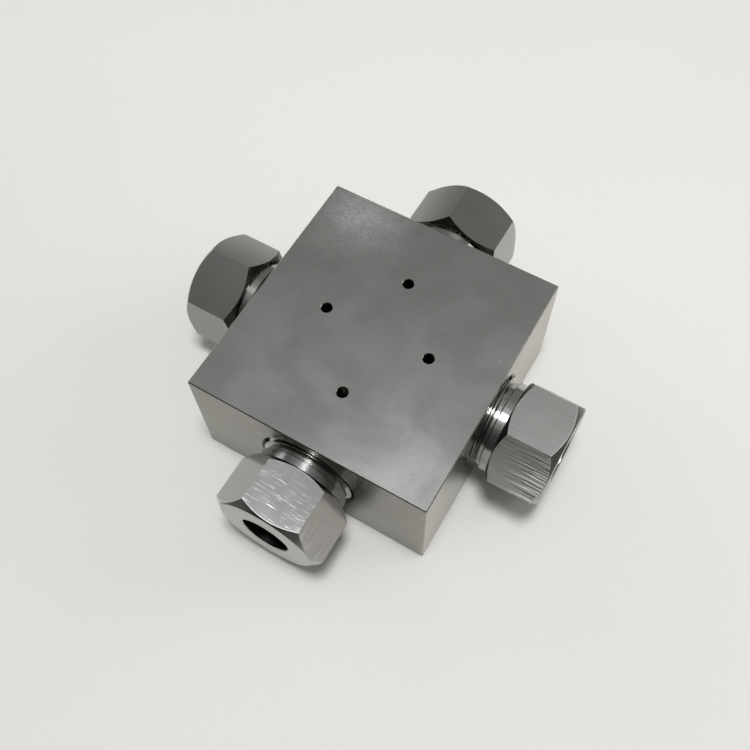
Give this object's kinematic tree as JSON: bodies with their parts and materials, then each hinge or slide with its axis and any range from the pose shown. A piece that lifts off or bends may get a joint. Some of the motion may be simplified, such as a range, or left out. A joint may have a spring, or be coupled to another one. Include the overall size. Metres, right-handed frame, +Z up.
{
  "type": "four-way high-pressure cross fitting",
  "caption": "Rectangular steel cross block with a threaded port in each side, hexagon gland nuts screwed part-way in, inner collars and small weep holes on top.",
  "frame": {"origin": "centre of the block's bottom face", "axes": "+Z up, normal to the block's large faces; +X out of the right port; +Y out of the back port, along the block's longer side"},
  "size_m": [0.1197, 0.123, 0.0382],
  "materials": {
    "block_steel": "ground and satin",
    "gland_steel": "turned and milled, lightly scratched",
    "collar_steel": "turned"
  },
  "bodies": {
    "block": {"block": "block_steel"},
    "collar_front": {"collar_front": "collar_steel"},
    "gland_front": {"gland_front": "gland_steel"},
    "collar_back": {"collar_back": "collar_steel"},
    "gland_back": {"gland_back": "gland_steel"},
    "collar_left": {"collar_left": "collar_steel"},
    "gland_left": {"gland_left": "gland_steel"},
    "collar_right": {"collar_right": "collar_steel"},
    "gland_right": {"gland_right": "gland_steel"}
  },
  "joints": [
    {"name": "travel_front", "type": "slide", "parent": "block", "child": "collar_front", "axis": [0, -1, 0], "range_m": [-0.0034, 0.0086]},
    {"name": "screw_front", "type": "hinge", "parent": "collar_front", "child": "gland_front", "pos_m": [0, -0.0395, 0.02], "axis": [0, -1, 0], "range_deg": [-579.4, 1463.8]},
    {"name": "travel_back", "type": "slide", "parent": "block", "child": "collar_back", "axis": [0, 1, 0], "range_m": [-0.0036, 0.0084]},
    {"name": "screw_back", "type": "hinge", "parent": "collar_back", "child": "gland_back", "pos_m": [0, 0.0395, 0.02], "axis": [0, 1, 0], "range_deg": [-613.4, 1429.8]},
    {"name": "travel_left", "type": "slide", "parent": "block", "child": "collar_left", "axis": [-1, 0, 0], "range_m": [-0.0036, 0.0084]},
    {"name": "screw_left", "type": "hinge", "parent": "collar_left", "child": "gland_left", "pos_m": [-0.0375, 0, 0.02], "axis": [-1, 0, 0], "range_deg": [-613.4, 1429.8]},
    {"name": "travel_right", "type": "slide", "parent": "block", "child": "collar_right", "axis": [1, 0, 0], "range_m": [-0.0041, 0.0079]},
    {"name": "screw_right", "type": "hinge", "parent": "collar_right", "child": "gland_right", "pos_m": [0.0375, 0, 0.02], "axis": [1, 0, 0], "range_deg": [-698.5, 1344.8]}
  ],
  "couplings": [
    {"joint": "screw_front", "follows": "travel_front", "rad_per_m": 2968.4},
    {"joint": "screw_back", "follows": "travel_back", "rad_per_m": 2968.4},
    {"joint": "screw_left", "follows": "travel_left", "rad_per_m": 2968.4},
    {"joint": "screw_right", "follows": "travel_right", "rad_per_m": 2968.4}
  ]
}
